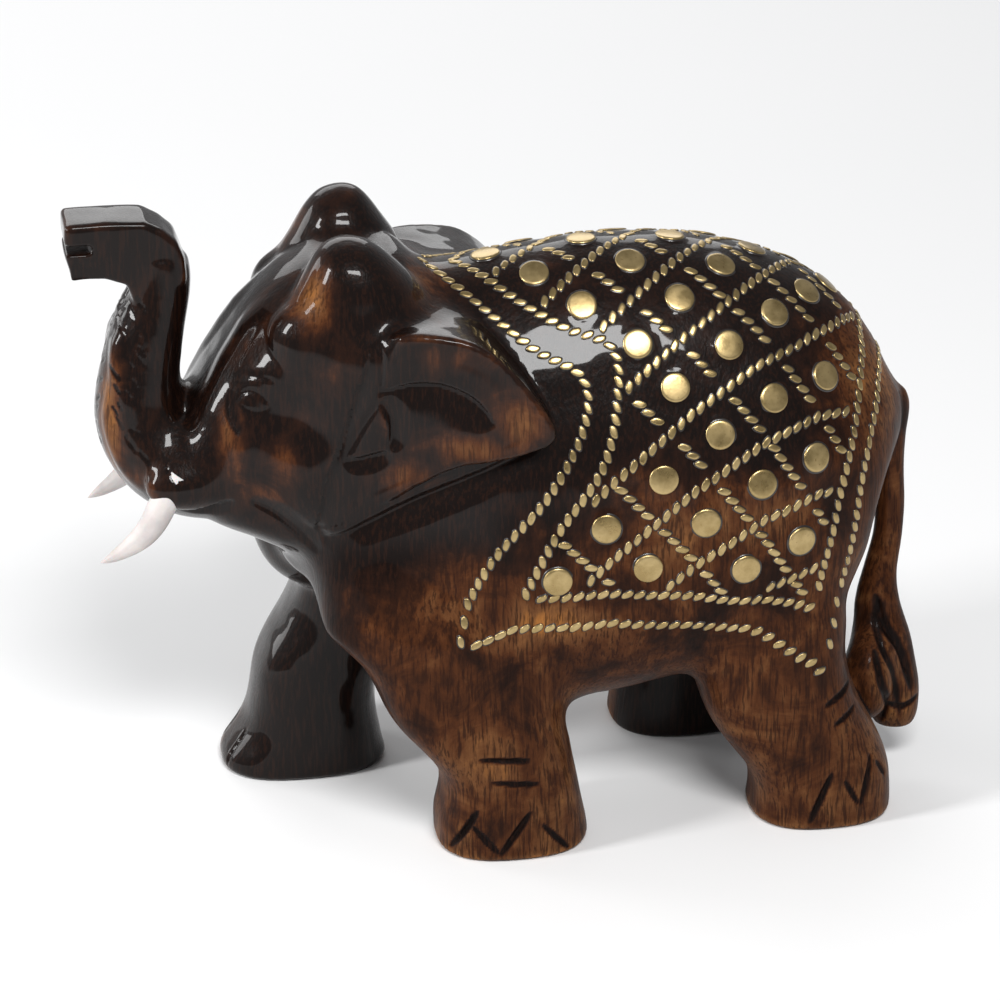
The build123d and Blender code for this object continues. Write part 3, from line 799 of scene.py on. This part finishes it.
def tusk_material():
    s = Shader("off-white tusk")
    along = s.noise(s.stretched(0.25, 1.0, 0.25), 500.0, 4.0)
    clouds = s.noise(s.coords, 180.0, 4.0)
    colour = s.mix(s.ramp(clouds, 0.3, 0.7), (0.47, 0.43, 0.42), (0.62, 0.58, 0.56))
    colour = s.mix(s.ramp(along, 0.60, 0.72, 0.0, 0.35), colour, (0.44, 0.36, 0.30))
    s.set(Base_Color=colour, Roughness=0.48, Subsurface_Weight=0.15, Subsurface_Scale=0.002)
    s.bump(along, 0.0001, 0.4)
    return s.material


def floor_material():
    s = Shader("pale floor")
    clouds = s.noise(s.coords, 3.0, 2.0)
    s.set(Base_Color=s.mix(clouds, (0.86, 0.86, 0.86), (0.89, 0.89, 0.89)), Roughness=0.9)
    return s.material


# ---------------------------------------------------------------- colour masks
# rubbed patches of the lacquer: x, y, z, reach along x, y, z, strength; left side, mirrored
RUBBED = [
    (-34.0, -14.0, 99.5, 4.0, 6.0, 6.5, 1.35),
    (-31.0, -15.0, 91.0, 3.6, 6.0, 6.0, 0.8),
    (-25.0, -10.0, 110.0, 5.0, 6.0, 2.4, 0.5),
    (-12.0, -28.0, 92.0, 11.0, 5.0, 2.8, 0.8),
    (-2.0, -28.0, 81.0, 5.5, 5.0, 7.0, 1.15),
    (-10.0, -27.0, 76.0, 9.0, 5.0, 3.8, 1.1),
    (-20.0, -24.0, 71.0, 7.0, 5.0, 3.6, 0.95),
    (-40.0, -18.0, 73.0, 3.4, 6.0, 5.0, 0.7),
    (-36.0, -18.0, 80.0, 4.0, 6.0, 3.0, 0.5),
    (-48.5, -14.0, 77.0, 2.8, 5.0, 8.0, 0.9),
    (-44.0, -16.0, 66.0, 5.0, 6.0, 3.0, 0.6),
    (-67.2, -5.5, 78.0, 2.4, 4.0, 12.0, 1.5),
    (-63.5, -6.0, 68.0, 4.0, 6.0, 3.0, 0.7),
    (-61.5, -4.0, 96.0, 2.0, 4.0, 7.0, 0.5),
    (-16.0, -24.0, 50.0, 6.0, 6.0, 6.0, 0.22),
    (6.0, -28.0, 44.0, 10.0, 6.0, 5.0, 0.5),
    (30.0, -28.0, 62.0, 12.0, 6.0, 8.0, 0.45),
    (-8.0, -28.0, 22.0, 6.0, 6.0, 10.0, 0.5),
    (60.0, -22.0, 16.0, 5.0, 6.0, 8.0, 0.5),
    (10.0, -14.0, 101.0, 14.0, 8.0, 6.0, 0.35),
    (-15.0, -7.0, 99.0, 7.0, 9.0, 5.0, 0.7),
    (64.0, -12.0, 74.0, 6.0, 10.0, 12.0, 0.4),
]


# places made darker, nearly black, with the same numbers; mirrored: the trunk, and painted shade
# round the eye, in the hollows by the cheek and mouth, in the trough behind and above the ears,
# under the ears and high on the front legs
DARK_AND_SHADED_PLACES = [
    (-68.0, 4.0, 106.0, 9.0, 6.0, 7.0, 0.45),
    (-62.0, 4.0, 88.0, 4.0, 5.0, 9.0, 0.25),
    (-45.0, 14.0, 83.0, 6.0, 6.0, 6.0, 0.30),
    (-31.0, 17.0, 77.0, 5.0, 6.0, 9.0, 0.35),
    (-22.0, 18.0, 94.0, 6.0, 8.0, 4.0, 0.20),
    (-52.0, 13.0, 71.0, 6.0, 6.0, 5.0, 0.30),
    (-24.0, 24.0, 58.0, 12.0, 8.0, 8.0, 0.7),
    (2.0, 26.0, 66.0, 8.0, 8.0, 12.0, 0.25),
    (4.0, 22.0, 90.0, 8.0, 8.0, 10.0, 0.30),
    (-36.0, 16.0, 34.0, 10.0, 10.0, 16.0, 0.35),
]


# how much darker the fully lacquered wood is, and how much painted shade the inner sides of the
# legs get
CLOSED_GRAIN_DARKER = 0.20
INNER_LEG_SHADE_DARKER = 0.75


def colour_masks(points, normals, relief, dark):
    """Wear less the painted shade, painted shade in cuts and hollows, and how open the grain is at
    each point of the wood.
    """
    wear_and_shade = smoothstep(0.05, 0.40, relief) * 0.45
    for x, y, z, rx, ry, rz, strength in RUBBED:
        for side in (-1, 1):
            back = RIGHT_EAR_BACK if side > 0 and abs(y) > 25 else 0.0
            spot = np.array([x + back, abs(y) * side, z])
            far = ((points - spot) / np.array([rx, ry, rz])) ** 2
            wear_and_shade = np.maximum(wear_and_shade, strength * np.exp(-far.sum(1)))
    # the darker places, most of them painted shade, are taken off the wear
    for x, y, z, rx, ry, rz, strength in DARK_AND_SHADED_PLACES:
        for side in (-1, 1):
            far = ((points - np.array([x, y * side, z])) / np.array([rx, ry, rz])) ** 2
            wear_and_shade -= strength * np.exp(-far.sum(1))
    # painted shade in the cuts and in hollows below the smoothed surface
    recess_shade = np.maximum(dark, smoothstep(0.05, 0.45, -relief))
    x, y, z = points.T
    legs = smoothstep(38.0, 26.0, z)
    flank = smoothstep(-14.0, 0.0, x) * smoothstep(80.0, 55.0, z)
    chest = smoothstep(-40.0, -30.0, x) * smoothstep(66.0, 52.0, z)
    # painted shade: the far front leg gets less open grain, so a darker colour
    far_leg_shade = smoothstep(-2.0, 6.0, y) * smoothstep(-12.0, -22.0, x)
    rump = smoothstep(38.0, 58.0, x) * smoothstep(104.0, 86.0, z)
    open_grain = np.maximum.reduce([legs, flank * 0.9, chest * 0.9, rump * 0.9])
    open_grain *= 1 - 0.75 * far_leg_shade
    # painted shade on the inner sides of the legs, which face away from the light
    inner_leg_shade = smoothstep(48.0, 36.0, z) * smoothstep(0.05, -0.5, normals[:, 1] * np.sign(y))
    open_grain *= 1 - 0.7 * inner_leg_shade
    wear_and_shade -= CLOSED_GRAIN_DARKER * (1 - open_grain) + INNER_LEG_SHADE_DARKER * inner_leg_shade
    return wear_and_shade, recess_shade, open_grain


def add_attribute(obj, name, values):
    """Stores one number per point for the wood's shader."""
    attribute = obj.data.attributes.new(name, "FLOAT", "POINT")
    attribute.data.foreach_set("value", np.asarray(values, np.float32))


# ---------------------------------------------------------------- the brass
def turn(direction, normal):
    """Three unit directions: along, across and up for a piece on the skin."""
    up = normal / np.linalg.norm(normal)
    along = direction - up * (direction @ up)
    along /= np.linalg.norm(along)
    return along, np.cross(up, along), up


def lens_piece(middle, axes, half_length, half_width, rings, count, power, lean=0.0):
    """Rings of points from the foot of a piece up to its crown, and its faces."""
    along, across, up = axes
    points, faces = [], []
    for spread, height in rings:
        for index in range(count):
            angle = 2 * math.pi * index / count
            x = math.copysign(abs(math.cos(angle)) ** power, math.cos(angle))
            y = math.copysign(abs(math.sin(angle)) ** power, math.sin(angle))
            points.append(middle + along * (spread * (half_length * x + half_width * lean * y))
                          + across * (half_width * spread * y) + up * height)
    points.append(middle + up * rings[-1][1])
    for ring in range(len(rings) - 1):
        for index in range(count):
            a, b = ring * count + index, ring * count + (index + 1) % count
            faces.append((a, b, b + count, a + count))
    top = (len(rings) - 1) * count
    for index in range(count):
        faces.append((top + index, top + (index + 1) % count, len(points) - 1))
    return points, faces


def seat(tree, middle):
    """Nearest place on the wood and its outward direction."""
    place, normal, _, _ = tree.find_nearest(Vector(middle))
    return np.array(place), np.array(normal)


# rings of a chip or disc, from its foot to its crown: share of the radius, height
CHIP_HALF_LENGTH = 1.05
CHIP_HALF_WIDTH = 0.59
CHIP_RINGS = [(1.0, -0.35), (1.0, 0.07), (0.94, 0.15), (0.80, 0.20), (0.45, 0.22)]
CHIP_LEAN = 0.42
CHIP_CORNERS = 18
CHIP_POWER = 0.8
CHIP_LACQUER_END = 0.16
CHIP_LACQUER_SIDE = 0.17
CHIP_LACQUER_RINGS = [(1.0, -0.3), (1.0, -0.02), (0.85, 0.05)]
STUD_RADIUS = 2.5
STUD_CORNERS = 40
STUD_CROWN_RADIUS = 26.0
STUD_RINGS = [(1.0, -0.5), (1.0, 0.14), (0.97, 0.25), (0.91, 0.32), (0.78, 0.352), (0.45, 0.375),
              (0.2, 0.38)]
STUD_LACQUER_RINGS = [(1.0 + 0.32 / STUD_RADIUS, -0.5), (1.0 + 0.3 / STUD_RADIUS, -0.06),
                      (0.99, 0.03)]


def brass_piece(tree, cloud, is_stud):
    """One disc or chip seated on the carved skin, with the dark lacquer round it."""
    centre = (cloud.min(0) + cloud.max(0)) / 2
    place, normal = seat(tree, centre)
    _, _, spans = np.linalg.svd(cloud - cloud.mean(0))
    axes = turn(spans[0], normal)
    tilt = rng.normal(0.0, 0.02, 2)
    swing = rng.normal(0, 0.06)
    axes = turn(axes[0] + axes[1] * swing, normal + axes[0] * tilt[0] + axes[1] * tilt[1])
    if is_stud:
        sag = STUD_RADIUS ** 2 / 2 / STUD_CROWN_RADIUS
        low = [(spread, height - sag * spread ** 2 * 0.6) for spread, height in STUD_RINGS]
        piece = lens_piece(place, axes, STUD_RADIUS, STUD_RADIUS, low, STUD_CORNERS, 1.0)
        dark = lens_piece(place, axes, STUD_RADIUS, STUD_RADIUS, STUD_LACQUER_RINGS,
                          STUD_CORNERS, 1.0)
    else:
        size = rng.uniform(0.92, 1.06)
        lean = -math.copysign(CHIP_LEAN, place[1])
        piece = lens_piece(place, axes, CHIP_HALF_LENGTH * size, CHIP_HALF_WIDTH * size, CHIP_RINGS,
                           CHIP_CORNERS, CHIP_POWER, lean)
        dark = lens_piece(place, axes, CHIP_HALF_LENGTH + CHIP_LACQUER_END,
                          CHIP_HALF_WIDTH + CHIP_LACQUER_SIDE, CHIP_LACQUER_RINGS,
                          CHIP_CORNERS, CHIP_POWER, lean)
    return piece, dark


def brass_object(node, tree, brass, pitch):
    """The visual piece for one CAD node of brass."""
    points, tris = read_mesh(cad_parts[node])
    vertices, faces, marks = [], [], []
    for members in islands(points, tris):
        for number, (cloud, shell) in enumerate(brass_piece(tree, points[members], "stud" in node)):
            start = len(vertices)
            vertices += list(cloud)
            faces += [tuple(start + corner for corner in face) for face in shell]
            marks += [number] * len(shell)
    mesh = bpy.data.meshes.new(node + "_visual")
    mesh.from_pydata([tuple(p * MM) for p in vertices], [], faces)
    mesh.materials.append(brass)
    mesh.materials.append(pitch)
    mesh.polygons.foreach_set("material_index", marks)
    mesh.polygons.foreach_set("use_smooth", [True] * len(faces))
    mesh.update()
    obj = bpy.data.objects.new(node + "_visual", mesh)
    bpy.context.scene.collection.objects.link(obj)
    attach(obj, "root")
    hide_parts(node)


# ---------------------------------------------------------------- build
wood = wood_material()
brass = brass_material()
pitch = pitch_material()
ivory = tusk_material()

skin, quads, skin_normals, relief, dark = carved_wood()
body = build_object("carved_elephant", skin, quads, wood)
masks = colour_masks(skin, skin_normals, relief, dark)
for name, values in zip(("wear_and_shade", "recess_shade", "open_grain"), masks):
    add_attribute(body, name, values)
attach(body, "root")
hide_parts("carved_body")

tree = BVHTree.FromPolygons(skin.tolist(), quads.tolist())
for node in sorted(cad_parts):
    if "stud" in node or "border" in node or "strand" in node:
        brass_object(node, tree, brass, pitch)

for node in ("left_tusk", "right_tusk"):
    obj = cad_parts[node]
    obj.data.materials.clear()
    obj.data.materials.append(ivory)
    obj.data.polygons.foreach_set("use_smooth", [True] * len(obj.data.polygons))


# ---------------------------------------------------------------- studio
def area_light(name, place, target, size, power):
    """A rectangular soft light in metres that looks at a target."""
    data = bpy.data.lights.new(name, "AREA")
    data.shape = "RECTANGLE"
    data.size, data.size_y = size
    data.energy = power
    light = bpy.data.objects.new(name, data)
    light.location = place
    light.rotation_mode = "QUATERNION"
    light.rotation_quaternion = (Vector(target) - Vector(place)).to_track_quat("-Z", "Y")
    bpy.context.scene.collection.objects.link(light)


FLOOR_REACH = 3000
floor_corners = [(-FLOOR_REACH, -FLOOR_REACH, 0), (FLOOR_REACH, -FLOOR_REACH, 0),
                 (FLOOR_REACH, FLOOR_REACH, 0), (-FLOOR_REACH, FLOOR_REACH, 0)]
floor = build_object("floor", floor_corners, [(0, 1, 2, 3)], floor_material(), smooth=False)

world = bpy.data.worlds.new("studio")
world.use_nodes = True
background = world.node_tree.nodes["Background"]
background.inputs["Color"].default_value = (0.97, 0.98, 1.0, 1.0)
background.inputs["Strength"].default_value = 0.34
bpy.context.scene.world = world
bpy.context.scene.view_settings.view_transform = "Standard"

area_light("upper softbox", (0.04, -0.54, 0.66), (0, 0, 0.06), (0.32, 0.15), 4.8)
area_light("left softbox", (-0.76, -0.20, 0.46), (-0.02, 0, 0.07), (0.14, 0.28), 4.4)
area_light("left rear card", (-0.80, 0.50, 0.26), (-0.03, 0, 0.08), (0.36, 0.36), 2.2)
area_light("rear softbox", (0.0, 0.80, 0.52), (0, 0, 0.06), (0.90, 0.36), 2.6)

CAMERA_TARGET = Vector((-0.0008, 0.0, 0.0545))
CAMERA_DISTANCE = 0.70
CAMERA_YAW = -10.0
CAMERA_LIFT = 25.0
camera_data = bpy.data.cameras.new("camera")
camera_data.sensor_width = 36.0
camera_data.lens = 146.16
camera_data.clip_start = 0.01
camera = bpy.data.objects.new("camera", camera_data)
yaw, lift = math.radians(CAMERA_YAW), math.radians(CAMERA_LIFT)
back = Vector((math.sin(yaw) * math.cos(lift), -math.cos(yaw) * math.cos(lift), math.sin(lift)))
camera.location = CAMERA_TARGET + back * CAMERA_DISTANCE
camera.rotation_mode = "QUATERNION"
camera.rotation_quaternion = (-back).to_track_quat("-Z", "Y")
bpy.context.scene.collection.objects.link(camera)
bpy.context.scene.camera = camera
